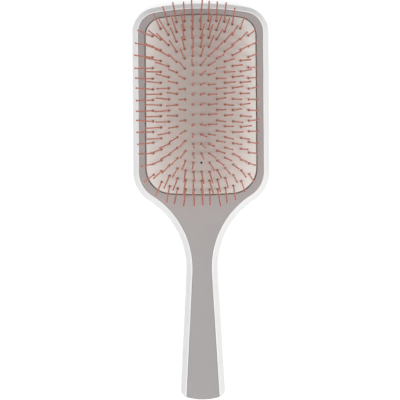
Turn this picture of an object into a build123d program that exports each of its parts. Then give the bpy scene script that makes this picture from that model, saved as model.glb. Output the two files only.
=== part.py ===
"""Paddle brush: a moulded body and front plate that hold a domed rubber pad with wire pins.

Millimetres. The brush lies on its back: X across the head, Y along the handle towards the
head's top, Z up from the back to the pin tips. The origin is under the middle of the brush.
"""

from build123d import *
import math
import os

os.makedirs("parts", exist_ok=True)

# Body outline
overall_length = 250.0
head_width = 86.0
head_corner_radius = 16.0
head_top_bow_radius = 171.0
head_side_end = 106.55  # from the head's top down to where the straight sides end
shoulder_radius = 21.2
shoulder_turn = 57.5  # degrees
neck_width = 19.6
grip_flare_radius = 80.0
grip_flare_angle = 3.15  # degrees
butt_corner_radius = 4.5
butt_bow_radius = 36.0

# Body section
body_height = 14.0
bevel_width = 3.1
bevel_height = 4.0
bevel_edge_radius = 1.5
back_edge_radius = 4.0
floor_thickness = 2.4
wall_thickness = 4.7

# Front plate
plate_thickness = 2.0
plate_inset = 3.8
plate_fit = 0.1
plate_edge_radius = 0.4
peg_diameter = 3.0
peg_length = 5.5
peg_tip_chamfer = 0.4
peg_fit = 0.05
peg_end_room = 0.5
boss_diameter = 6.4
boss_gap = 0.2
grip_peg_count = 3
grip_peg_spacing = 27.0
grip_peg_from_butt = 13.0
shoulder_peg_spacing = 28.0
shoulder_peg_from_pad = 9.0

# Pad opening in the plate
opening_from_side = 7.8
opening_from_top = 7.1
opening_past_sides = 14.7  # how far it runs on towards the handle past the straight sides
opening_top_sharper = 4.0  # how much smaller its corner radii are than the head's
opening_bottom_sharper = 4.7
opening_bottom_bow_radius = 300.0

# Tray under the pad
tray_wall_gap = 0.35
tray_ring_thickness = 1.9
tray_floor_thickness = 1.6
foot_diameter = 7.0
foot_height = 2.0
foot_from_tray_side = 12.6
foot_from_tray_end = 17.35
stub_diameter = 3.4
stub_height = 1.6
stub_fit = 0.1

# Rubber pad
flange_inset = 0.3  # from the tray's edge to the flange's
flange_thickness = 1.1
flange_gap = 0.25
pad_gap = 0.45
pad_skin = 1.8
pad_edge_rise = 0.3  # from the plate's face up to the edge of the dome
pad_edge_radius = 0.5
dome_rise = 8.0
dome_power_x = 2.4
dome_power_y = 2.75
vent_diameter = 1.4
pin_hole_fit = 0.1

# Wire pins
pin_counts = (14, 15, 16, 17, 18, 19, 19, 19, 18, 17, 16, 15, 14)
pin_side_inset = 5.2  # from the opening's side to the outermost column
pin_end_inset = 4.2  # from the opening's end to the last pin of the middle column
pin_corner_drop = 9.4  # how much the outermost columns stop short at each end
pin_corner_power = 3.5
pin_crowding = 0.07
pin_field_drop = 0.5  # from the pad's middle towards the handle
vent_place = 3  # the place in the middle column, from the handle, that has the vent
pin_length = 22.5
pin_diameter = 0.9
pin_ball_diameter = 1.15
pin_collar_diameter = 1.5
pin_collar_thickness = 0.65
pin_collar_gap = 0.45
pin_foot_diameter = 2.2
pin_foot_thickness = 0.6
pin_foot_gap = 0.6

# How the pins lean. An ease or a lateness is a power: the more, the nearer the field's edge
lean_upright_across = -0.17  # where the pins stand upright, as a share of the field's half width
lean_upright_along = 0.2
lean_left = 10.8
lean_left_softness = 0.9
lean_right = 5.5
lean_right_softness = 0.25
lean_side_loss = 0.8  # how much of the sideways lean is gone at the field's ends
lean_side_ease_top = 3.0
lean_side_ease_bottom = 2.0
lean_corner_hold = 3.0
lean_end = 10.6
lean_end_ease_top = 1.1
lean_end_ease_bottom = 2.3
lean_end_lateness = 4.0
lean_lateness_left = 6.0
lean_lateness_right = 1.2
lean_drop = 0.9
lean_scatter = 0.7
scatter_waves_x = (1.7, 2.9)  # radians a millimetre, along X and Y
scatter_waves_y = (2.3, -3.1)

# Fineness of the work, which changes no size
dome_steps_x = 24
dome_steps_y = 40
dome_overrun = 1.0  # how far the dome's surface is worked out past the opening
side_band = 1.0  # how near to a side a corner is looked for
edge_band = 0.01

# Places worked out from the sizes above
head_top = overall_length / 2
butt = -overall_length / 2
head_side = head_width / 2
neck_radius = (head_side - neck_width / 2) / (1 - math.cos(math.radians(shoulder_turn)))
neck_radius -= shoulder_radius
plate_underside = body_height - plate_thickness
opening_side = head_side - opening_from_side
opening_top = head_top - opening_from_top
opening_bottom = head_top - head_side_end - opening_past_sides
opening_length = opening_top - opening_bottom
opening_top_radius = head_corner_radius - opening_top_sharper
opening_bottom_radius = shoulder_radius - opening_bottom_sharper
pad_middle = (opening_top + opening_bottom) / 2
tray_margin = opening_from_top - wall_thickness - tray_wall_gap
flange_margin = tray_margin - flange_inset
tray_underside = floor_thickness + foot_height
tray_floor = tray_underside + tray_floor_thickness
flange_top = plate_underside - flange_gap
flange_bottom = flange_top - flange_thickness
tray_top = flange_bottom - flange_gap
dome_edge = body_height + pad_edge_rise
boss_top = plate_underside - boss_gap
pin_field_side = opening_side - pin_side_inset
pin_field_end = opening_length / 2 - pin_end_inset
pin_field_middle = pad_middle - pin_field_drop
above_all = body_height + dome_rise + pin_length


def endless_outline(inset=0):
    """The body's outline with the grip run on past the butt, drawn in by inset."""
    bow_angle = math.degrees(math.asin(head_side / head_top_bow_radius))
    with BuildSketch() as outline:
        with BuildLine():
            top = JernArc((0, head_top), (1, 0), head_top_bow_radius, -bow_angle)
            side = Line(top @ 1, (head_side, head_top - head_side_end))
            shoulder = JernArc(side @ 1, (0, -1), shoulder_radius, -shoulder_turn)
            neck = JernArc(shoulder @ 1, shoulder % 1, neck_radius, shoulder_turn)
            flare = JernArc(neck @ 1, neck % 1, grip_flare_radius, grip_flare_angle)
            grip = Line(flare @ 1, flare @ 1 + (flare % 1) * ((neck @ 1).Y - butt))
            Line(grip @ 1, (0, (grip @ 1).Y))
            mirror(about=Plane.YZ)
        make_face()
        widest = outline.vertices().filter_by(lambda v: abs(v.X) > head_side - side_band)
        fillet(widest.group_by(Axis.Y)[-1], radius=head_corner_radius)
        if inset:
            offset(amount=-inset)
    return outline.sketch


def butt_stop():
    """Everything on the head's side of the bowed butt."""
    bow_middle = butt + butt_bow_radius
    with BuildSketch() as stop:
        with Locations((0, bow_middle)):
            Circle(butt_bow_radius)
            Rectangle(2 * head_width, 2 * overall_length, align=(Align.CENTER, Align.MIN))
    return stop.sketch


def body_outline(inset=0):
    """The body's outline with its bowed butt, drawn in by inset all round."""
    with BuildSketch() as outline:
        add(endless_outline())
        add(butt_stop(), mode=Mode.INTERSECT)
        fillet(outline.vertices().group_by(Axis.Y)[0], radius=butt_corner_radius)
        if inset:
            offset(amount=-inset)
    return outline.sketch


def pad_outline(margin=0):
    """The pad opening's outline, let out by margin."""
    side_x = opening_side + margin
    top_radius = head_top_bow_radius - opening_from_top + margin
    top_angle = math.degrees(math.asin(side_x / top_radius))
    bottom_radius = opening_bottom_bow_radius + margin
    bottom_angle = math.degrees(math.asin(side_x / bottom_radius))
    with BuildSketch() as outline:
        with BuildLine():
            top = JernArc((0, opening_top + margin), (1, 0), top_radius, -top_angle)
            bottom = JernArc((0, opening_bottom - margin), (1, 0), bottom_radius, bottom_angle)
            Line(top @ 1, bottom @ 1)
            mirror(about=Plane.YZ)
        make_face()
        corners = outline.vertices().filter_by(lambda v: abs(v.X) > side_x - side_band)
        fillet(corners.group_by(Axis.Y)[-1], radius=opening_top_radius + margin)
        corners = outline.vertices().filter_by(lambda v: abs(v.X) > side_x - side_band)
        fillet(corners.group_by(Axis.Y)[0], radius=opening_bottom_radius + margin)
    return outline.sketch


def peg_places():
    """Where the plate's pegs stand: down the grip, and one under each shoulder."""
    first_y = butt + grip_peg_from_butt
    shoulder_x = shoulder_peg_spacing / 2
    shoulder_y = opening_bottom - shoulder_peg_from_pad
    places = [(0, first_y + i * grip_peg_spacing) for i in range(grip_peg_count)]
    return places + [(-shoulder_x, shoulder_y), (shoulder_x, shoulder_y)]


def foot_places():
    """Where the tray's feet stand on the body's floor."""
    side_x = opening_side + tray_margin - foot_from_tray_side
    end_y = opening_length / 2 + tray_margin - foot_from_tray_end
    rows = (pad_middle - end_y, pad_middle, pad_middle + end_y)
    return [(x, y) for x in (-side_x, side_x) for y in rows]


def dome_height(x, y):
    """The height of the pad's outer skin over a point of the pad."""
    side = (abs(x) / opening_side) ** dome_power_x
    end = (abs(y - pad_middle) * 2 / opening_length) ** dome_power_y
    return dome_edge + dome_rise * (1 - side) * (1 - end)


def dome_surface(drop):
    """The dome's skin as a smooth face, lowered by drop."""
    reach_x = opening_side + dome_overrun
    reach_y = opening_length / 2 + dome_overrun
    rows = []
    for j in range(dome_steps_y + 1):
        y = pad_middle + reach_y * (2 * j / dome_steps_y - 1)
        across = [reach_x * (2 * i / dome_steps_x - 1) for i in range(dome_steps_x + 1)]
        rows.append([Vector(x, y, dome_height(x, y) - drop) for x in across])
    return Face.make_surface_from_array_of_points(rows)


def dome_block(margin, drop):
    """A block from the flange's underside up to the dome's surface, lowered by drop."""
    with BuildPart() as block:
        with BuildSketch(Plane.XY.offset(flange_bottom)):
            add(pad_outline(margin))
        extrude(amount=above_all)
        extrude(dome_surface(drop), amount=above_all, dir=(0, 0, 1), mode=Mode.SUBTRACT)
    return block.part


def column_places(column):
    """The places of one column of pins, from the handle's end to the head's top."""
    across = 2 * column / (len(pin_counts) - 1) - 1
    x = across * pin_field_side
    half = pin_field_end - pin_corner_drop * abs(across) ** pin_corner_power
    crowding = pin_crowding * (1 - across**2)
    places = []
    for i in range(pin_counts[column]):
        u = 2 * i / (pin_counts[column] - 1) - 1
        crowded = u + crowding * math.sin(math.pi * u) / math.pi
        places.append((x, pin_field_middle + half * crowded))
    return places


def from_upright(share, upright):
    """A share of the pin field, measured anew from where the pins stand upright."""
    away = share - upright
    return away / (1 - math.copysign(1, away) * upright)


def lean_sideways(u, v):
    """How far a pin's tip stands from its root across the head."""
    across = from_upright(u, lean_upright_across)
    reach, softness = lean_left, lean_left_softness
    if across > 0:
        reach, softness = lean_right, lean_right_softness
    ease = lean_side_ease_bottom
    if v > 0:
        ease = lean_side_ease_top + lean_corner_hold * u**2
    swing = math.tanh(across / softness) / math.tanh(1 / softness)
    return reach * swing * (1 - lean_side_loss * abs(v) ** ease)


def lean_endwise(u, v):
    """How far a pin's tip stands from its root along the handle."""
    across = from_upright(u, lean_upright_across)
    along = from_upright(v, lean_upright_along)
    lateness = lean_lateness_right if across > 0 else lean_lateness_left
    ease = lean_end_ease_top if along > 0 else lean_end_ease_bottom
    ease += lean_end_lateness * abs(u) ** lateness
    return lean_end * math.copysign(abs(along) ** ease, along) - lean_drop * (1 - v**2)


def pin_lean(x, y):
    """How far a pin's tip stands from its root, sideways and endwise."""
    u = x / pin_field_side
    v = (y - pin_field_middle) / pin_field_end
    scatter_x = math.sin(scatter_waves_x[0] * x + scatter_waves_x[1] * y)
    scatter_y = math.sin(scatter_waves_y[0] * x + scatter_waves_y[1] * y)
    return (
        lean_sideways(u, v) + lean_scatter * scatter_x,
        lean_endwise(u, v) + lean_scatter * scatter_y,
    )


def pin_frame(x, y):
    """A pin's own plane: its origin on the pad's skin, its Z along the pin."""
    lean_x, lean_y = pin_lean(x, y)
    upright = math.sqrt(pin_length**2 - lean_x**2 - lean_y**2)
    return Plane(origin=(x, y, dome_height(x, y)), z_dir=(lean_x, lean_y, upright))


# Body: a bevelled block, hollow, with bosses for the pegs and stubs for the tray's feet
with BuildPart() as back_shell:
    with BuildSketch():
        add(endless_outline())
    extrude(amount=body_height)
    face = back_shell.faces().sort_by(Axis.Z)[-1]
    chamfer(face.edges(), length=bevel_width, length2=bevel_height, reference=face)
    low, high = body_height - bevel_height - edge_band, body_height - bevel_height + edge_band
    rim = back_shell.edges().filter_by_position(Axis.Z, low, high)
    fillet(rim, radius=bevel_edge_radius)
    with BuildSketch():
        add(body_outline())
    extrude(amount=body_height, mode=Mode.INTERSECT)
    fillet(back_shell.faces().sort_by(Axis.Z)[0].edges(), radius=back_edge_radius)
    with BuildSketch(Plane.XY.offset(plate_underside)):
        add(endless_outline(plate_inset - plate_fit))
    extrude(amount=plate_thickness, mode=Mode.SUBTRACT)
    with BuildSketch(Plane.XY.offset(floor_thickness)):
        add(body_outline(wall_thickness))
    extrude(amount=plate_underside - floor_thickness, mode=Mode.SUBTRACT)
    with BuildSketch(Plane.XY.offset(floor_thickness)):
        with Locations(*peg_places()):
            Circle(boss_diameter / 2)
    extrude(amount=boss_top - floor_thickness)
    with BuildSketch(Plane.XY.offset(plate_underside - peg_length - peg_end_room)):
        with Locations(*peg_places()):
            Circle(peg_diameter / 2 + peg_fit)
    extrude(amount=peg_length + peg_end_room, mode=Mode.SUBTRACT)
    with BuildSketch(Plane.XY.offset(floor_thickness)):
        with Locations(*foot_places()):
            Circle(stub_diameter / 2)
    extrude(amount=stub_height)
back_shell.part.label = "back_shell"
export_step(back_shell.part, "parts/back_shell.step")

# Front plate: it drops into the body's rim, runs on to the butt and holds the pad down
with BuildPart() as front_plate:
    with BuildSketch(Plane.XY.offset(plate_underside)):
        add(endless_outline(plate_inset))
    extrude(amount=plate_thickness)
    fillet(front_plate.faces().sort_by(Axis.Z)[-1].edges(), radius=plate_edge_radius)
    with BuildSketch(Plane.XY.offset(plate_underside)):
        add(body_outline())
    extrude(amount=plate_thickness, mode=Mode.INTERSECT)
    with BuildSketch(Plane.XY.offset(plate_underside)):
        add(pad_outline())
    extrude(amount=plate_thickness, mode=Mode.SUBTRACT)
    opening = front_plate.faces().sort_by(Axis.Z)[-1].inner_wires()[0].edges()
    fillet(opening, radius=plate_edge_radius)
    with BuildSketch(Plane.XY.offset(plate_underside)):
        with Locations(*peg_places()):
            Circle(peg_diameter / 2)
    extrude(amount=-peg_length)
    chamfer(front_plate.faces().group_by(Axis.Z)[0].edges(), length=peg_tip_chamfer)
front_plate.part.label = "front_plate"
export_step(front_plate.part, "parts/front_plate.step")

# Tray: the air chamber's floor and the ring that the pad's flange rests on
with BuildPart() as pad_tray:
    with BuildSketch(Plane.XY.offset(tray_underside)):
        add(pad_outline(tray_margin))
    extrude(amount=tray_top - tray_underside)
    with BuildSketch(Plane.XY.offset(tray_floor)):
        add(pad_outline(tray_margin - tray_ring_thickness))
    extrude(amount=tray_top - tray_floor, mode=Mode.SUBTRACT)
    with BuildSketch(Plane.XY.offset(floor_thickness)):
        with Locations(*foot_places()):
            Circle(foot_diameter / 2)
            Circle(stub_diameter / 2 + stub_fit, mode=Mode.SUBTRACT)
    extrude(amount=foot_height)
pad_tray.part.label = "pad_tray"
export_step(pad_tray.part, "parts/pad_tray.step")

# Pins: a foot behind the skin, a collar over it, and a ball at the tip
pin_radius = pin_diameter / 2
foot_top = -pad_skin - pin_foot_gap
foot_bottom = foot_top - pin_foot_thickness
collar_top = pin_collar_gap + pin_collar_thickness
ball_radius = pin_ball_diameter / 2
ball_middle = pin_length - ball_radius
ball_neck = ball_middle - math.sqrt(ball_radius**2 - pin_radius**2)
with BuildPart() as pin:
    with BuildSketch(Plane.XZ):
        with BuildLine():
            Polyline(
                (0, foot_bottom),
                (pin_foot_diameter / 2, foot_bottom),
                (pin_foot_diameter / 2, foot_top),
                (pin_radius, foot_top),
                (pin_radius, pin_collar_gap),
                (pin_collar_diameter / 2, pin_collar_gap),
                (pin_collar_diameter / 2, collar_top),
                (pin_radius, collar_top),
                (pin_radius, ball_neck),
            )
            ThreePointArc((pin_radius, ball_neck), (ball_radius, ball_middle), (0, pin_length))
            Line((0, pin_length), (0, foot_bottom))
        make_face()
    revolve(axis=Axis.Z)

vent_column = len(pin_counts) // 2
vent = column_places(vent_column)[vent_place]
pin_frames = []
for column in range(len(pin_counts)):
    places = [place for place in column_places(column) if place != vent]
    pin_frames.append([pin_frame(x, y) for x, y in places])

# Pad: a domed skin with a flange, a hole for every pin and the vent
drill_length = 4 * pad_skin
with BuildPart() as cushion:
    add(dome_block(-pad_gap, 0))
    top_edges = cushion.edges().filter_by(lambda e: e.center().Z > dome_edge)
    fillet(top_edges, radius=pad_edge_radius)
    with BuildSketch(Plane.XY.offset(flange_bottom)):
        add(pad_outline(flange_margin))
    extrude(amount=flange_thickness)
    add(dome_block(-pad_gap - pad_skin, pad_skin), mode=Mode.SUBTRACT)
    with Locations(*[frame for frames in pin_frames for frame in frames]):
        Cylinder(pin_radius + pin_hole_fit, drill_length, mode=Mode.SUBTRACT)
    with Locations((*vent, dome_height(*vent))):
        Cylinder(vent_diameter / 2, drill_length, mode=Mode.SUBTRACT)
cushion.part.label = "cushion"
export_step(cushion.part, "parts/cushion.step")

# Pins, a column to a node
for column, frames in enumerate(pin_frames, start=1):
    with BuildPart() as pin_column:
        with Locations(*frames):
            add(pin.part)
    pin_column.part.label = f"pin_column_{column:02d}"
    export_step(pin_column.part, f"parts/{pin_column.part.label}.step")
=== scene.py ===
"""The looks of a paddle brush, built round its construction model.

Metres, in the construction model's own frame: X across the head, Y along the handle towards the
head's top, Z from the back to the pin tips. The moulded body, the front plate, the tray and the
wire pins keep their modelled shape and get their finish here. The rubber pad is modelled here.
"""

import math

import bmesh
import bpy
import numpy as np
from bpy.props import FloatProperty, FloatVectorProperty, IntProperty, PointerProperty
from mathutils import Matrix, Vector


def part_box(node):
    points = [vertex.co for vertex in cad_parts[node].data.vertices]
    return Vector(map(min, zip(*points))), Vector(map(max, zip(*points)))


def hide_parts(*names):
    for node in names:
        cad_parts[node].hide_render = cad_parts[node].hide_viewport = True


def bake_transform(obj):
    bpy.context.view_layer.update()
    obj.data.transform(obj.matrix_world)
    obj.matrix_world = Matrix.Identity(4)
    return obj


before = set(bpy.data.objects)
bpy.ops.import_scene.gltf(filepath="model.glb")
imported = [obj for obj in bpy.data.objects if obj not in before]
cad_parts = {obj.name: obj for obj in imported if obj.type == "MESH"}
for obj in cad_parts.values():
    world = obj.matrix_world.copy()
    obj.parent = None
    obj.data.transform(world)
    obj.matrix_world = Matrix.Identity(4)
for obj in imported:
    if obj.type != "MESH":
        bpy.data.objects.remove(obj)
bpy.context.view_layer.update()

bl_info = {
    "name": "Paddle Brush",
    "version": (1, 0, 0),
    "blender": (4, 5, 0),
    "location": "View3D > Sidebar > Brush",
    "description": "Finishes a paddle brush: body, front plate, rubber pad, wire pins and stage",
    "category": "Object",
}

MM = 0.001
PAD_LOW, PAD_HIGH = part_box("cushion")
PAD_MIDDLE = (PAD_LOW.y + PAD_HIGH.y) / 2
PLATE_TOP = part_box("front_plate")[1].z
PIN_NODES = sorted(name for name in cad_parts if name.startswith("pin_column"))
SEAM_LAYER = "seam"
WHITE = (1, 1, 1, 1)

# Fineness of the mesh work
MERGE_DISTANCE = 0.001 * MM
CUT_DISTANCE = 1e-7  # how near to a cut a point counts as on it
SLOPE_STEP = MM  # the length over which the skin's slope is taken

# The patterns' own make-up, which has no length
DRIFT_DETAIL = 3.0
DRIFT_ROUGHNESS = 0.55
DRIFT_LOW = 0.35  # the noise's height where the first tone ends
DRIFT_HIGH = 0.65  # the noise's height where the second tone begins
GRAIN_DETAIL = 2.0
GRAIN_ROUGHNESS = 0.5

# The camera
SENSOR_WIDTH = 36.0  # the camera's own unit, millimetres
NEAREST_SEEN = 0.01
FARTHEST_SEEN = 100


def colour_property(name, description, default):
    """A colour setting, as linear red, green and blue."""
    return FloatVectorProperty(
        name=name, description=description, default=default, size=3, min=0, max=1, subtype="COLOR"
    )


def length_property(name, description, millimetres):
    """A length setting of the brush, written in millimetres and kept in metres."""
    return FloatProperty(
        name=name, description=description, default=millimetres * MM, unit="LENGTH", precision=5
    )


def span_property(name, description, metres):
    """A length setting of the stage."""
    return FloatProperty(name=name, description=description, default=metres, unit="LENGTH")


def angle_property(name, description, degrees):
    """An angle setting, written in degrees and kept in radians."""
    return FloatProperty(
        name=name, description=description, default=math.radians(degrees), subtype="ANGLE"
    )


def share_property(name, description, default):
    """A setting between 0 and 1."""
    return FloatProperty(
        name=name, description=description, default=default, min=0, max=1, subtype="FACTOR"
    )


def exponent_property(name, description, default):
    """The power that a share is raised to."""
    return FloatProperty(name=name, description=description, default=default, min=0)


def count_property(name, description, default):
    """A number of faces or cuts."""
    return IntProperty(name=name, description=description, default=default, min=1)


def lamp_property(name, description, watts):
    """A lamp's power."""
    return FloatProperty(name=name, description=description, default=watts, unit="POWER")


class ShellSettings(bpy.types.PropertyGroup):
    """The moulded body's finish."""

    colour: colour_property("Colour", "The moulded plastic", (0.98, 0.98, 0.985))
    drift: colour_property("Drift", "The tone that the plastic drifts to", (0.955, 0.955, 0.95))
    drift_size: length_property("Drift size", "How far apart the tones lie", 35)
    coat: share_property("Coat", "How much clear gloss lies over the plastic", 0.2)
    roughness: share_property("Roughness", "The least roughness of the plastic", 0.3)
    roughness_spread: share_property("Roughness spread", "What the grain adds to it", 0.12)
    grain_size: length_property("Grain size", "The width of the mould's texture", 0.5)
    grain_depth: length_property("Grain depth", "The depth of the mould's texture", 0.004)


class PlateSettings(bpy.types.PropertyGroup):
    """The front plate's finish."""

    colour: colour_property("Colour", "The matt lacquer", (0.402, 0.374, 0.368))
    drift: colour_property("Drift", "The tone that the lacquer drifts to", (0.380, 0.362, 0.358))
    drift_size: length_property("Drift size", "How far apart the tones lie", 30)
    roughness: share_property("Roughness", "The least roughness of the lacquer", 0.5)
    roughness_spread: share_property("Roughness spread", "What the grain adds to it", 0.12)
    grain_size: length_property("Grain size", "The width of the lacquer's texture", 0.35)
    grain_depth: length_property("Grain depth", "The depth of the lacquer's texture", 0.008)


class TraySettings(bpy.types.PropertyGroup):
    """The finish of the tray inside the body."""

    # Painted shade: the tray is near black so that the vent shows black, standing in for the shade down
    # the bore
    colour: colour_property("Colour", "The unpainted plastic", (0.05, 0.048, 0.047))
    drift: colour_property("Drift", "The tone that the plastic drifts to", (0.04, 0.038, 0.037))
    drift_size: length_property("Drift size", "How far apart the tones lie", 20)
    roughness: share_property("Roughness", "The least roughness of the plastic", 0.55)
    roughness_spread: share_property("Roughness spread", "What the grain adds to it", 0.12)
    grain_size: length_property("Grain size", "The width of the mould's texture", 0.6)
    grain_depth: length_property("Grain depth", "The depth of the mould's texture", 0.01)


class PadSettings(bpy.types.PropertyGroup):
    """The rubber pad's form and finish."""

    flange_margin: length_property("Flange margin", "From the plate's opening to the flange's edge", 1.75)
    flange_thickness: length_property("Flange thickness", "The flange's height", 1.1)
    wall_margin: length_property("Wall margin", "From the flange's edge to the wall's foot", 2.309413)
    wall_lean: length_property("Wall lean", "How far the wall leans in up to its sharp edge", 0.090587)
    hollow_margin: length_property("Hollow margin", "From the flange's edge to the hollow", 3.85)
    skin: length_property("Skin", "The rubber's thickness over the hollow", 1.8)
    edge_height: length_property("Edge height", "Where the dome meets the opening's edge", 14.3)
    dome_rise: length_property("Dome rise", "The crown over the edge", 8)
    power_across: exponent_property("Power across", "How flat the crown is across the head", 2.4)
    power_along: exponent_property("Power along", "How flat the crown is along the handle", 2.75)
    top_radius: length_property("Top radius", "The opening's corners at the head's top", 12)
    low_radius: length_property("Low radius", "The opening's corners at the handle", 16.5)
    top_bow: length_property("Top bow", "The bow of the opening's top", 163.9)
    low_bow: length_property("Low bow", "The bow of the opening's low end", 300)
    mesh_size: length_property("Mesh size", "The width of the skin's faces", 1.25)
    corner_cuts: count_property("Corner cuts", "Faces round a corner", 14)
    end_cuts: count_property("End cuts", "Faces along a bowed end", 40)
    vent_y: length_property("Vent place", "The vent's place along the handle", 24.05)
    vent_diameter: length_property("Vent diameter", "The bore that lets air out", 1.4)
    vent_faces: count_property("Vent faces", "Faces round the vent", 24)
    lip_inner: length_property("Lip inner radius", "Where a lip meets its pin", 0.4)
    lip_crest: length_property("Lip crest", "The width of a lip's flat top", 0.25)
    lip_outer: length_property("Lip outer radius", "Where a lip runs out", 1.15)
    lip_height: length_property("Lip height", "How far the rubber stands up at a pin", 0.16)
    lip_faces: count_property("Lip faces", "Faces round a lip", 12)
    smooth_angle: angle_property("Smooth angle", "The sharpest edge that is shaded as round", 50)
    # Painted shade: the darker colour over the pad's middle, where the dome faces up, away from the side
    # lamps
    colour: colour_property("Colour", "The rubber over the air chamber", (0.456, 0.442, 0.412))
    # Painted light: the lighter colour at the pad's rim, where the dome's sloping sides catch the side
    # lamps
    painted_rim_light: colour_property("Rim colour", "The rubber where it is backed", (0.79, 0.775, 0.735))
    # Where the painted shade is darkest across the pad, how late the painted rim light comes, and how
    # much of it the pad's ends get
    fade_middle: length_property("Fade middle", "Where the rubber is darkest, across the pad", -0.5)
    fade_power: exponent_property("Fade power", "How late the rim colour comes", 1.85)
    fade_ends: share_property("Fade ends", "How much of the rim colour the pad's ends get", 0.35)
    # Painted shade only: the rubber takes this colour down in the seam round the pad, where it lies in
    # the plate's shade
    painted_seam_shade: colour_property("Seam colour", "Dust and shade down in the seam", (0.52, 0.31, 0.24))
    seam_depth: length_property("Seam depth", "How far under the plate's face the shade is full", 0.8)
    drift_size: length_property("Drift size", "How far apart the tones lie", 14)
    drift_share: share_property("Drift share", "How much the tone drifts", 0.06)
    roughness: share_property("Roughness", "The least roughness of the rubber", 0.5)
    roughness_spread: share_property("Roughness spread", "What the grain adds to it", 0.15)
    grain_size: length_property("Grain size", "The width of the rubber's texture", 0.3)
    grain_depth: length_property("Grain depth", "The depth of the rubber's texture", 0.01)


class PinSettings(bpy.types.PropertyGroup):
    """The wire pins' finish."""

    length: length_property("Length", "A pin's length over the pad", 22.5)
    colour: colour_property("Colour", "The copper plating", (0.825, 0.40, 0.325))
    drift: colour_property("Drift", "The tone that the plating drifts to", (0.715, 0.385, 0.32))
    drift_size: length_property("Drift size", "How far apart the tones lie", 5)
    # Painted shade at the pins' roots: the collars and the wire just over the pad are darkened where they
    # stand in the pad's shade
    painted_root_shade: colour_property("Collar colour", "The darker collars", (0.29, 0.088, 0.064))
    # How far over the pad the painted shade at the roots reaches, and the height over which it fades out
    collar_top: length_property("Collar top", "How far over the pad the collars reach", 1.25)
    collar_fade: length_property("Collar fade", "The height over which their colour ends", 0.75)
    # Painted reflection: faces that look up, mostly the rounded tips and the collars' tops, take this
    # darker colour, standing in for the dark they mirror from over the brush
    painted_tip_reflection: colour_property("Tip colour", "The darker lacquer on the tips", (0.30, 0.11, 0.08))
    # Where the painted reflection on up-facing faces begins, and how much further up it is full
    tip_slope: share_property("Tip slope", "How far up a face looks where the tip begins", 0.6)
    tip_fade: share_property("Tip fade", "How much further up where the tip's colour is full", 0.15)
    roughness: share_property("Roughness", "The least roughness of the plating", 0.38)
    roughness_spread: share_property("Roughness spread", "What the grain adds to it", 0.12)
    grain_size: length_property("Grain size", "The width of the drawn wire's marks", 0.25)
    grain_depth: length_property("Grain depth", "The depth of the drawn wire's marks", 0.004)


class StageSettings(bpy.types.PropertyGroup):
    """The floor, the lights and the camera."""

    floor_size: span_property("Floor size", "The floor's side", 6)
    floor_drop: length_property("Floor drop", "How far the floor lies under the brush", 0.1)
    floor_shade: share_property("Floor shade", "The floor's own tone", 0.62)
    floor_lift: share_property("Floor lift", "The white that the camera sees added to it", 0.6)
    fade_start: span_property("Fade start", "How far out the floor starts to whiten", 0.3)
    fade_end: span_property("Fade end", "How far out the floor is white", 0.9)
    sky: share_property("Sky", "The even light from all round", 0.25)
    left_power: lamp_property("Left power", "The lamp on the left", 4.0)
    right_power: lamp_property("Right power", "The lamp on the right", 5.2)
    low_power: lamp_property("Low power", "The lamp past the handle", 0.6)
    top_power: lamp_property("Top power", "The lamp overhead", 9.0)
    light_reach: span_property("Light reach", "The outer lamps from the middle", 0.9)
    light_height: span_property("Light height", "The outer lamps over the floor", 0.75)
    light_shift: span_property("Light shift", "The left and right lamps' place along", -0.25)
    light_size: span_property("Light size", "An outer lamp's side", 0.7)
    top_height: span_property("Top height", "The overhead lamp over the floor", 1.6)
    top_shift: span_property("Top shift", "The overhead lamp's place along", -0.25)
    top_size: span_property("Top size", "The overhead lamp's side", 1.4)
    camera_height: span_property("Camera height", "The camera over the plate", 1.15)
    camera_x: length_property("Camera X", "The camera's place across", -1.05)
    camera_y: length_property("Camera Y", "The camera's place along", 0.7)
    camera_roll: angle_property("Camera roll", "The camera's turn", -0.40)
    frame_width: length_property("Frame width", "What the frame takes in at the plate", 252)


# Shader building


def feed(tree, socket, value):
    """Gives a node's input its value, or links it to the socket that feeds it."""
    if isinstance(value, bpy.types.NodeSocket):
        tree.links.new(value, socket)
    else:
        socket.default_value = value


def add_node(tree, kind, inputs=None, **settings):
    """A node with its settings and inputs. An input is a value or the socket that feeds it."""
    made = tree.nodes.new(kind)
    for name, value in settings.items():
        setattr(made, name, value)
    for key, value in (inputs or {}).items():
        feed(tree, made.inputs[key], value)
    return made


def work_out(tree, operation, *values):
    """The output of a Math node."""
    return add_node(tree, "ShaderNodeMath", dict(enumerate(values)), operation=operation).outputs[0]


def mix_colours(tree, factor, first, second):
    """The output of a Mix node that runs from the first colour to the second."""
    made = add_node(tree, "ShaderNodeMix", {"Factor": factor}, data_type="RGBA")
    for socket, value in zip([s for s in made.inputs if s.type == "RGBA"], (first, second)):
        feed(tree, socket, value)
    return next(s for s in made.outputs if s.type == "RGBA")


def spread(tree, value, low, high, to_low, to_high):
    """The output of a Map Range node with soft ends."""
    inputs = {"Value": value, "From Min": low, "From Max": high, "To Min": to_low, "To Max": to_high}
    made = add_node(tree, "ShaderNodeMapRange", inputs, interpolation_type="SMOOTHSTEP")
    return made.outputs["Result"]


def split_axes(tree, vector):
    """A vector's X, Y and Z outputs."""
    return add_node(tree, "ShaderNodeSeparateXYZ", {"Vector": vector}).outputs


def noise_height(tree, position, size, detail, roughness):
    """The output of a Noise node whose blobs are as wide as size."""
    scale = work_out(tree, "DIVIDE", 1.0, size)
    inputs = {"Vector": position, "Scale": scale, "Detail": detail, "Roughness": roughness}
    return add_node(tree, "ShaderNodeTexNoise", inputs).outputs["Fac"]


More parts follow.
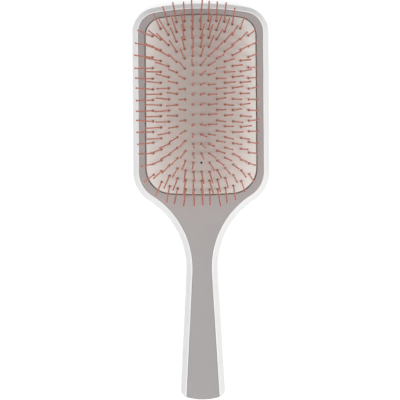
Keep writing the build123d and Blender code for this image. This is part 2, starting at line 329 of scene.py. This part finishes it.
def new_group(name, inputs, outputs):
    """A shader node group with named sockets. Returns it with its input and output nodes."""
    group = bpy.data.node_groups.new(name, "ShaderNodeTree")
    for socket, kind in inputs.items():
        group.interface.new_socket(name=socket, in_out="INPUT", socket_type=kind)
    for socket, kind in outputs.items():
        group.interface.new_socket(name=socket, in_out="OUTPUT", socket_type=kind)
    return group, group.nodes.new("NodeGroupInput").outputs, group.nodes.new("NodeGroupOutput").inputs


def tone_drift_group(name):
    """Two tones that run into each other over the surface."""
    inputs = {
        "Position": "NodeSocketVector",
        "Size": "NodeSocketFloat",
        "Colour": "NodeSocketColor",
        "Drift": "NodeSocketColor",
    }
    group, given, result = new_group(name, inputs, {"Colour": "NodeSocketColor"})
    height = noise_height(group, given["Position"], given["Size"], DRIFT_DETAIL, DRIFT_ROUGHNESS)
    mask = spread(group, height, DRIFT_LOW, DRIFT_HIGH, 0.0, 1.0)
    group.links.new(mix_colours(group, mask, given["Colour"], given["Drift"]), result["Colour"])
    return group


def fine_grain_group(name):
    """The height of a fine even texture, and how rough it leaves the surface."""
    inputs = {
        "Position": "NodeSocketVector",
        "Size": "NodeSocketFloat",
        "Roughness": "NodeSocketFloat",
        "Spread": "NodeSocketFloat",
    }
    outputs = {"Height": "NodeSocketFloat", "Roughness": "NodeSocketFloat"}
    group, given, result = new_group(name, inputs, outputs)
    height = noise_height(group, given["Position"], given["Size"], GRAIN_DETAIL, GRAIN_ROUGHNESS)
    extra = work_out(group, "MULTIPLY", height, given["Spread"])
    group.links.new(height, result["Height"])
    group.links.new(work_out(group, "ADD", extra, given["Roughness"]), result["Roughness"])
    return group


def edge_fade_group(name):
    """A mask over an oblong field: 0 at its middle, 1 at its edge."""
    inputs = {
        "Position": "NodeSocketVector",
        "Middle": "NodeSocketVector",
        "Half Width": "NodeSocketFloat",
        "Half Length": "NodeSocketFloat",
        "Power": "NodeSocketFloat",
        "Ends": "NodeSocketFloat",
    }
    group, given, result = new_group(name, inputs, {"Mask": "NodeSocketFloat"})
    ends = {0: given["Position"], 1: given["Middle"]}
    away = add_node(group, "ShaderNodeVectorMath", ends, operation="SUBTRACT").outputs["Vector"]
    away = split_axes(group, away)
    shares = []
    for axis, half in (("X", "Half Width"), ("Y", "Half Length")):
        share = work_out(group, "DIVIDE", work_out(group, "ABSOLUTE", away[axis]), given[half])
        shares.append(work_out(group, "POWER", share, given["Power"]))
    both = work_out(group, "MULTIPLY_ADD", shares[1], given["Ends"], shares[0])
    group.links.new(work_out(group, "MINIMUM", both, 1.0), result["Mask"])
    return group


EFFECTS = {
    "Tone Drift": tone_drift_group,
    "Fine Grain": fine_grain_group,
    "Edge Fade": edge_fade_group,
}


def place_effect(tree, name, inputs):
    """A shared effect's group in a material, built the first time. Returns its outputs."""
    made = tree.nodes.new("ShaderNodeGroup")
    made.node_tree = bpy.data.node_groups.get(name) or EFFECTS[name](name)
    for key, value in inputs.items():
        feed(tree, made.inputs[key], value)
    return made.outputs


def opaque(colour):
    """A colour setting with its alpha."""
    return (*colour, 1.0)


def new_material(name, **shader):
    """A material with one Principled shader and constants on its sockets."""
    material = bpy.data.materials.new(name)
    material.use_nodes = True
    principled = material.node_tree.nodes["Principled BSDF"]
    for key, value in shader.items():
        principled.inputs[key.replace("_", " ")].default_value = value
    return material, material.node_tree, principled


def drifting_colour(tree, position, size, colour, drift):
    """A colour that drifts to another over the surface."""
    inputs = {"Position": position, "Size": size, "Colour": colour, "Drift": drift}
    return place_effect(tree, "Tone Drift", inputs)["Colour"]


def finish_surface(tree, principled, settings, position, colour):
    """Feeds a shader's colour, roughness and bump, which all of the brush's materials have."""
    grain = {
        "Position": position,
        "Size": settings.grain_size,
        "Roughness": settings.roughness,
        "Spread": settings.roughness_spread,
    }
    grain = place_effect(tree, "Fine Grain", grain)
    bump = {"Height": grain["Height"], "Distance": settings.grain_depth, "Strength": 1.0}
    bump = add_node(tree, "ShaderNodeBump", bump).outputs["Normal"]
    tree.links.new(colour, principled.inputs["Base Color"])
    tree.links.new(grain["Roughness"], principled.inputs["Roughness"])
    tree.links.new(bump, principled.inputs["Normal"])


def moulded_material(name, settings, **shader):
    """Plastic or lacquer: a tone that drifts a little, and a fine grain."""
    material, tree, principled = new_material(name, **shader)
    position = tree.nodes.new("ShaderNodeTexCoord").outputs["Object"]
    tones = (opaque(settings.colour), opaque(settings.drift))
    colour = drifting_colour(tree, position, settings.drift_size, *tones)
    finish_surface(tree, principled, settings, position, colour)
    return material


def dress(names, material):
    """Gives modelled nodes their finish."""
    for name in names:
        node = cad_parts[name]
        if not node.material_slots:
            node.data.materials.append(material)
        for slot in node.material_slots:
            slot.material = material


# Mesh building


def verts_among(items):
    """The vertices among a mesh operator's results."""
    return [item for item in items if isinstance(item, bmesh.types.BMVert)]


def finished_mesh(bm, name):
    """The mesh of a bmesh, which is freed."""
    mesh = bpy.data.meshes.new(name)
    bm.to_mesh(mesh)
    bm.free()
    return mesh


def add_object(name, data):
    """An object in the scene with its mesh, lamp or camera."""
    made = bpy.data.objects.new(name, data)
    bpy.context.scene.collection.objects.link(made)
    return made


# The wire pins' places


def loose_parts(bm):
    """The vertices of each separate solid."""
    seen = set()
    for start in bm.verts:
        if start in seen:
            continue
        seen.add(start)
        part = [start]
        for vertex in part:
            near = [edge.other_vert(vertex) for edge in vertex.link_edges]
            fresh = [other for other in near if other not in seen]
            seen.update(fresh)
            part.extend(fresh)
        yield part


def pin_roots(pin_length):
    """Each pin's root on the pad, read from the modelled pins."""
    roots = []
    for name in PIN_NODES:
        bm = bmesh.new()
        bm.from_mesh(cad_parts[name].data)
        bmesh.ops.remove_doubles(bm, verts=bm.verts, dist=MERGE_DISTANCE)
        for pin in loose_parts(bm):
            points = np.array([vertex.co for vertex in pin])
            middle = points.mean(0)
            offsets = points - middle
            axis = np.linalg.eigh(offsets.T @ offsets)[1][:, -1]
            axis *= math.copysign(1, axis[2])
            reach = (offsets @ axis).max()
            roots.append(Vector(middle + axis * (reach - pin_length)))
        bm.free()
    return roots


# The rubber pad


def pad_field(pad):
    """The opening's half width and half length, from the modelled pad."""
    return PAD_HIGH.x - pad.flange_margin, (PAD_HIGH.y - PAD_LOW.y) / 2 - pad.flange_margin


def dome_height(pad, x, y):
    """The height of the pad's skin over a point of the opening."""
    half_width, half_length = pad_field(pad)
    side = (abs(x) / half_width) ** pad.power_across
    end = (abs(y - PAD_MIDDLE) / half_length) ** pad.power_along
    return pad.edge_height + pad.dome_rise * (1 - side) * (1 - end)


def outline_end(bm, pad, upper):
    """One bowed end of the flange with its two round corners. Returns its first and last vertex."""
    if upper:
        turn = 1
        end = PAD_HIGH.y
        bow = pad.top_bow + pad.flange_margin
        radius = pad.top_radius + pad.flange_margin
    else:
        turn = -1
        end = PAD_LOW.y
        bow = pad.low_bow + pad.flange_margin
        radius = pad.low_radius + pad.flange_margin
    bow_y = end - turn * bow
    corner_x = PAD_HIGH.x - radius
    corner_y = bow_y + turn * math.sqrt((bow - radius) ** 2 - corner_x**2)
    swing = math.asin(corner_x / (bow - radius))
    arcs = (
        (corner_x, corner_y, math.pi / 2 - swing, pad.corner_cuts),
        (0, bow_y, 2 * swing, pad.end_cuts),
        (-corner_x, corner_y, math.pi / 2 - swing, pad.corner_cuts),
    )
    first = last = bm.verts.new((PAD_HIGH.x, corner_y, PAD_LOW.z))
    for x, y, angle, steps in arcs:
        swept = bmesh.ops.spin(
            bm, geom=[last], cent=(x, y, PAD_LOW.z), axis=(0, 0, turn), angle=angle, steps=steps
        )
        last = verts_among(swept["geom_last"])[0]
    return first, last


def flange_outline(bm, pad):
    """The flange's underside: an oblong with round corners and bowed ends."""
    top_first, top_last = outline_end(bm, pad, True)
    low_first, low_last = outline_end(bm, pad, False)
    bm.edges.new((top_first, low_first))
    bm.edges.new((top_last, low_last))
    return bmesh.ops.contextual_create(bm, geom=bm.edges[:])["faces"][0]


def draw_in(bm, face, thickness):
    """Draws a flat face in by thickness, in its own plane."""
    bmesh.ops.inset_region(bm, faces=[face], thickness=thickness, use_even_offset=True)


def set_height(face, height):
    """Moves a flat face to a height, and the faces round it lean to follow."""
    for vertex in face.verts:
        vertex.co.z = height


def draw_up(bm, face, height):
    """Draws upright walls from a face's edge to a height. Returns the flat face that ends them."""
    face = bmesh.ops.extrude_discrete_faces(bm, faces=[face])["faces"][0]
    set_height(face, height)
    return face


def spread_skin(bm, face, pad, drop):
    """Cuts a flat face into a grid and lifts it to the dome's height, less drop."""
    low = [min(vertex.co[axis] for vertex in face.verts) for axis in (0, 1)]
    span = [max(vertex.co[axis] for vertex in face.verts) - low[axis] for axis in (0, 1)]
    geom = [face, *face.edges, *face.verts]
    for axis in (0, 1):
        count = math.ceil(span[axis] / pad.mesh_size)
        normal = Vector((1 - axis, axis, 0))
        for i in range(1, count):
            place = normal * (low[axis] + span[axis] * i / count)
            cut = bmesh.ops.bisect_plane(
                bm, geom=geom, dist=CUT_DISTANCE, plane_co=place, plane_no=normal
            )
            geom = cut["geom"]
    for vertex in verts_among(geom):
        vertex.co.z = dome_height(pad, vertex.co.x, vertex.co.y) - drop


def pad_shell(pad):
    """The pad's closed mesh: flange, leaning wall, domed skin and the hollow under it."""
    bm = bmesh.new()
    face = flange_outline(bm, pad)
    face = draw_up(bm, face, PAD_LOW.z + pad.flange_thickness)
    draw_in(bm, face, pad.wall_margin)
    draw_in(bm, face, pad.wall_lean)
    set_height(face, pad.edge_height)
    spread_skin(bm, face, pad, 0)
    underside = [edge for edge in bm.edges if edge.is_boundary]
    face = bmesh.ops.contextual_create(bm, geom=underside)["faces"][0]
    draw_in(bm, face, pad.hollow_margin)
    face = draw_up(bm, face, pad.edge_height - pad.skin)
    spread_skin(bm, face, pad, pad.skin)
    bmesh.ops.recalc_face_normals(bm, faces=bm.faces)
    return finished_mesh(bm, "pad_shell")


def bored(mesh, pad):
    """A pad's mesh with the vent bored through it."""
    bm = bmesh.new()
    drill_length = 4 * pad.skin
    bmesh.ops.create_cone(
        bm,
        cap_ends=True,
        segments=pad.vent_faces,
        radius1=pad.vent_diameter / 2,
        radius2=pad.vent_diameter / 2,
        depth=drill_length,
        matrix=Matrix.Translation((0, pad.vent_y, dome_height(pad, 0, pad.vent_y))),
    )
    drill = add_object("vent_drill", finished_mesh(bm, "vent_drill"))
    shell = add_object("pad_shell", mesh)
    cut = shell.modifiers.new("Vent", "BOOLEAN")
    cut.object = drill
    cut.solver = "EXACT"
    graph = bpy.context.evaluated_depsgraph_get()
    result = bpy.data.meshes.new_from_object(shell.evaluated_get(graph))
    for item in (shell, drill):
        bpy.data.objects.remove(item)
    return result


def lip_mesh(pad):
    """One low ring of rubber, about the Z axis."""
    bm = bmesh.new()
    profile = (
        (pad.lip_inner, -pad.lip_height),
        (pad.lip_inner, pad.lip_height),
        (pad.lip_inner + pad.lip_crest, pad.lip_height),
        (pad.lip_outer, -pad.lip_height),
    )
    verts = [bm.verts.new((radius, 0, z)) for radius, z in profile]
    edges = [bm.edges.new(pair) for pair in zip(verts, verts[1:] + verts[:1])]
    bmesh.ops.spin(
        bm,
        geom=verts + edges,
        cent=(0, 0, 0),
        axis=(0, 0, 1),
        angle=2 * math.pi,
        steps=pad.lip_faces,
        use_merge=True,
    )
    bmesh.ops.recalc_face_normals(bm, faces=bm.faces)
    return finished_mesh(bm, "pin_lip")


def skin_frame(pad, x, y):
    """The place of a point on the pad's skin, with its Z square to the skin."""
    step = SLOPE_STEP / 2
    slope_x = (dome_height(pad, x + step, y) - dome_height(pad, x - step, y)) / SLOPE_STEP
    slope_y = (dome_height(pad, x, y + step) - dome_height(pad, x, y - step)) / SLOPE_STEP
    turn = Vector((-slope_x, -slope_y, 1)).to_track_quat("Z", "Y").to_matrix().to_4x4()
    return Matrix.Translation((x, y, dome_height(pad, x, y))) @ turn


def add_lips(bm, pad, roots):
    """A low ring of rubber round every pin's root."""
    lip = lip_mesh(pad)
    for root in roots:
        count = len(bm.verts)
        bm.from_mesh(lip)
        bm.verts.ensure_lookup_table()
        bmesh.ops.transform(bm, matrix=skin_frame(pad, root.x, root.y), verts=bm.verts[count:])


def mark_seam(bm, pad):
    """Marks how deep each point of the rubber lies in the seam, 0 at the plate's face and 1 far down: the
    mask of the painted shade in the seam.
    """
    layer = bm.verts.layers.float.new(SEAM_LAYER)
    for vertex in bm.verts:
        vertex[layer] = min(max((PLATE_TOP - vertex.co.z) / pad.seam_depth, 0), 1)


def pad_material(pad):
    """Soft rubber with painted light: lighter towards the pad's rim and darker over its middle, standing
    in for how the side lamps fall on the dome.
    """
    material, tree, principled = new_material("pad_rubber")
    position = tree.nodes.new("ShaderNodeTexCoord").outputs["Object"]
    half_width, half_length = pad_field(pad)
    # The mask of the painted light: 0 over the pad's middle, 1 at its rim
    rim_light_mask = {
        "Position": position,
        "Middle": (pad.fade_middle, PAD_MIDDLE, 0),
        "Half Width": half_width,
        "Half Length": half_length,
        "Power": pad.fade_power,
        "Ends": pad.fade_ends,
    }
    rim_light_mask = place_effect(tree, "Edge Fade", rim_light_mask)["Mask"]
    # Painted light and shade: from the darker middle colour to the lighter rim colour
    colour = mix_colours(tree, rim_light_mask, opaque(pad.colour), opaque(pad.painted_rim_light))
    darker = {"Color": colour, "Value": 1 - pad.drift_share}
    darker = add_node(tree, "ShaderNodeHueSaturation", darker).outputs["Color"]
    colour = drifting_colour(tree, position, pad.drift_size, colour, darker)
    # Painted shade: the rubber darkens to the seam's colour down in the seam round the pad
    seam = add_node(tree, "ShaderNodeAttribute", attribute_name=SEAM_LAYER).outputs["Fac"]
    seam = spread(tree, seam, 0.0, 1.0, 0.0, 1.0)
    colour = mix_colours(tree, seam, colour, opaque(pad.painted_seam_shade))
    finish_surface(tree, principled, pad, position, colour)
    return material


def finished_pad(pad, roots):
    """The whole pad's mesh: bored, with its lips, its seam marked and its sharp edges kept."""
    bm = bmesh.new()
    bm.from_mesh(bored(pad_shell(pad), pad))
    add_lips(bm, pad, roots)
    mark_seam(bm, pad)
    bmesh.ops.recalc_face_normals(bm, faces=bm.faces)
    for face in bm.faces:
        face.smooth = True
    for edge in bm.edges:
        edge.smooth = edge.is_manifold and edge.calc_face_angle() < pad.smooth_angle
    mesh = finished_mesh(bm, "rubber_pad")
    mesh.materials.append(pad_material(pad))
    return mesh


# The wire pins' finish


def over_pad(tree, position, pad):
    """The height of a point over the pad's skin."""
    place = split_axes(tree, position)
    half_width, half_length = pad_field(pad)
    along = work_out(tree, "SUBTRACT", place["Y"], PAD_MIDDLE)
    falls = []
    for away, half, power in (
        (place["X"], half_width, pad.power_across),
        (along, half_length, pad.power_along),
    ):
        share = work_out(tree, "DIVIDE", work_out(tree, "ABSOLUTE", away), half)
        falls.append(work_out(tree, "SUBTRACT", 1.0, work_out(tree, "POWER", share, power)))
    rise = work_out(tree, "MULTIPLY", falls[0], falls[1])
    skin = work_out(tree, "MULTIPLY_ADD", rise, pad.dome_rise, pad.edge_height)
    return work_out(tree, "SUBTRACT", place["Z"], skin)


def pin_material(pins, pad):
    """Copper plating, with painted shade on the collars at the pins' roots and a painted dark reflection
    on faces that look up, mostly the rounded tips.
    """
    material, tree, principled = new_material("pin_copper", Metallic=1.0)
    coordinates = tree.nodes.new("ShaderNodeTexCoord").outputs
    position = coordinates["Object"]
    tones = (opaque(pins.colour), opaque(pins.drift))
    colour = drifting_colour(tree, position, pins.drift_size, *tones)
    height = over_pad(tree, position, pad)
    # Painted shade: darker near the pad's skin, over the collars at the pins' roots
    root_shade_mask = spread(tree, height, pins.collar_top, pins.collar_top + pins.collar_fade, 1.0, 0.0)
    colour = mix_colours(tree, root_shade_mask, colour, opaque(pins.painted_root_shade))
    # Painted reflection: faces that look up are darkened, by their own direction
    facing = split_axes(tree, coordinates["Normal"])["Z"]
    tip_reflection_mask = spread(tree, facing, pins.tip_slope, pins.tip_slope + pins.tip_fade, 0.0, 1.0)
    colour = mix_colours(tree, tip_reflection_mask, colour, opaque(pins.painted_tip_reflection))
    finish_surface(tree, principled, pins, position, colour)
    return material


# The stage


def seen_plainly(tree):
    """1 for a ray from the camera, from a gloss or through glass, and 0 for any other."""
    rays = tree.nodes.new("ShaderNodeLightPath").outputs
    seen = work_out(tree, "ADD", rays["Is Camera Ray"], rays["Is Glossy Ray"])
    seen = work_out(tree, "ADD", seen, rays["Is Transmission Ray"])
    return work_out(tree, "MINIMUM", seen, 1.0)


def floor_material(stage):
    """A pale floor that keeps the object's shadow and whitens with its distance."""
    shade = (stage.floor_shade, stage.floor_shade, stage.floor_shade)
    material, tree, principled = new_material(
        "floor_white",
        Base_Color=opaque(shade),
        Roughness=1.0,
        Specular_IOR_Level=0.0,
        Emission_Color=WHITE,
    )
    position = tree.nodes.new("ShaderNodeTexCoord").outputs["Object"]
    away = add_node(tree, "ShaderNodeVectorMath", {0: position}, operation="LENGTH").outputs["Value"]
    lift = spread(tree, away, stage.fade_start, stage.fade_end, stage.floor_lift, 1.0)
    lift = work_out(tree, "MULTIPLY", seen_plainly(tree), lift)
    tree.links.new(lift, principled.inputs["Emission Strength"])
    return material


def build_floor(stage):
    """A square floor just under the brush."""
    bm = bmesh.new()
    bmesh.ops.create_grid(bm, x_segments=1, y_segments=1, size=stage.floor_size / 2)
    bmesh.ops.translate(bm, verts=bm.verts, vec=(0, 0, -stage.floor_drop))
    mesh = finished_mesh(bm, "floor")
    mesh.materials.append(floor_material(stage))
    floor = add_object("floor", mesh)


def build_sky(scene, stage):
    """White where it is seen, and an even soft light elsewhere."""
    scene.world = bpy.data.worlds.new("sky")
    scene.world.use_nodes = True
    tree = scene.world.node_tree
    strength = work_out(tree, "MULTIPLY_ADD", seen_plainly(tree), 1 - stage.sky, stage.sky)
    tree.links.new(strength, tree.nodes["Background"].inputs["Strength"])
    tree.nodes["Background"].inputs["Color"].default_value = WHITE


def build_lights(stage):
    """A soft lamp on each side, one past the handle's end and a wide one overhead."""
    reach = stage.light_reach
    height = stage.light_height
    places = {
        "left": ((-reach, stage.light_shift, height), stage.left_power, stage.light_size),
        "right": ((reach, stage.light_shift, height), stage.right_power, stage.light_size),
        "low": ((0, -reach, height), stage.low_power, stage.light_size),
        "top": ((0, stage.top_shift, stage.top_height), stage.top_power, stage.top_size),
    }
    for name, (place, power, size) in places.items():
        light = bpy.data.lights.new(name, "AREA")
        light.size = size
        light.energy = power
        lamp = add_object(name, light)
        lamp.location = place
        lamp.rotation_euler = (-lamp.location).to_track_quat("-Z", "Y").to_euler()


def build_camera(scene, stage):
    """A long lens straight over the brush, with the handle down."""
    camera = bpy.data.cameras.new("camera")
    camera.sensor_width = SENSOR_WIDTH
    camera.lens = SENSOR_WIDTH * stage.camera_height / stage.frame_width
    camera.clip_start = NEAREST_SEEN
    camera.clip_end = FARTHEST_SEEN
    holder = add_object("camera", camera)
    holder.location = (stage.camera_x, stage.camera_y, PLATE_TOP + stage.camera_height)
    holder.rotation_euler = (0, 0, stage.camera_roll)
    scene.camera = holder


# Operators


class BRUSH_OT_finish_shell(bpy.types.Operator):
    """Give the moulded body its glossy white plastic"""

    bl_idname = "brush.finish_shell"
    bl_label = "Finish Body"

    def execute(self, context):
        shell = context.scene.brush_shell
        dress(["back_shell"], moulded_material("shell_white", shell, Coat_Weight=shell.coat))
        return {"FINISHED"}


class BRUSH_OT_finish_plate(bpy.types.Operator):
    """Give the front plate its matt lacquer"""

    bl_idname = "brush.finish_plate"
    bl_label = "Finish Front Plate"

    def execute(self, context):
        dress(["front_plate"], moulded_material("plate_taupe", context.scene.brush_plate))
        return {"FINISHED"}


class BRUSH_OT_finish_tray(bpy.types.Operator):
    """Give the tray under the pad its plain plastic"""

    bl_idname = "brush.finish_tray"
    bl_label = "Finish Tray"

    def execute(self, context):
        dress(["pad_tray"], moulded_material("tray_gray", context.scene.brush_tray))
        return {"FINISHED"}


class BRUSH_OT_finish_pins(bpy.types.Operator):
    """Give the wire pins their copper plating"""

    bl_idname = "brush.finish_pins"
    bl_label = "Finish Pins"

    def execute(self, context):
        dress(PIN_NODES, pin_material(context.scene.brush_pins, context.scene.brush_pad))
        return {"FINISHED"}


class BRUSH_OT_build_pad(bpy.types.Operator):
    """Model the domed rubber pad with its vent and a lip round every pin"""

    bl_idname = "brush.build_pad"
    bl_label = "Build Rubber Pad"

    def execute(self, context):
        pad = context.scene.brush_pad
        roots = pin_roots(context.scene.brush_pins.length)
        piece = add_object("rubber_pad", finished_pad(pad, roots))
        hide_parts("cushion")
        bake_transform(piece)
        return {"FINISHED"}


class BRUSH_OT_set_stage(bpy.types.Operator):
    """Set up the pale floor, the soft lights and the camera"""

    bl_idname = "brush.set_stage"
    bl_label = "Set Stage"

    def execute(self, context):
        stage = context.scene.brush_stage
        build_floor(stage)
        build_sky(context.scene, stage)
        build_lights(stage)
        build_camera(context.scene, stage)
        context.scene.view_settings.view_transform = "Standard"
        return {"FINISHED"}


class VIEW3D_PT_brush(bpy.types.Panel):
    """The brush's pieces, each with the button that makes it"""

    bl_label = "Paddle Brush"
    bl_space_type = "VIEW_3D"
    bl_region_type = "UI"
    bl_category = "Brush"

    def draw(self, context):
        for operator in OPERATORS:
            self.layout.operator(operator.bl_idname)


OPERATORS = (
    BRUSH_OT_finish_shell,
    BRUSH_OT_finish_plate,
    BRUSH_OT_finish_tray,
    BRUSH_OT_finish_pins,
    BRUSH_OT_build_pad,
    BRUSH_OT_set_stage,
)
SETTINGS = {
    "brush_shell": ShellSettings,
    "brush_plate": PlateSettings,
    "brush_tray": TraySettings,
    "brush_pad": PadSettings,
    "brush_pins": PinSettings,
    "brush_stage": StageSettings,
}


def register():
    """Registers the settings, the operators and the panel."""
    for settings in SETTINGS.values():
        bpy.utils.register_class(settings)
    for name, settings in SETTINGS.items():
        setattr(bpy.types.Scene, name, PointerProperty(type=settings))
    for operator in OPERATORS:
        bpy.utils.register_class(operator)
    bpy.utils.register_class(VIEW3D_PT_brush)


def unregister():
    """Undoes what register does, in the opposite order."""
    bpy.utils.unregister_class(VIEW3D_PT_brush)
    for operator in reversed(OPERATORS):
        bpy.utils.unregister_class(operator)
    for name in reversed(SETTINGS):
        delattr(bpy.types.Scene, name)
    for settings in reversed(SETTINGS.values()):
        bpy.utils.unregister_class(settings)


def main():
    """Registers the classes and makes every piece."""
    register()
    bpy.ops.brush.finish_shell()
    bpy.ops.brush.finish_plate()
    bpy.ops.brush.finish_tray()
    bpy.ops.brush.finish_pins()
    bpy.ops.brush.build_pad()
    bpy.ops.brush.set_stage()


if __name__ == "__main__":
    main()
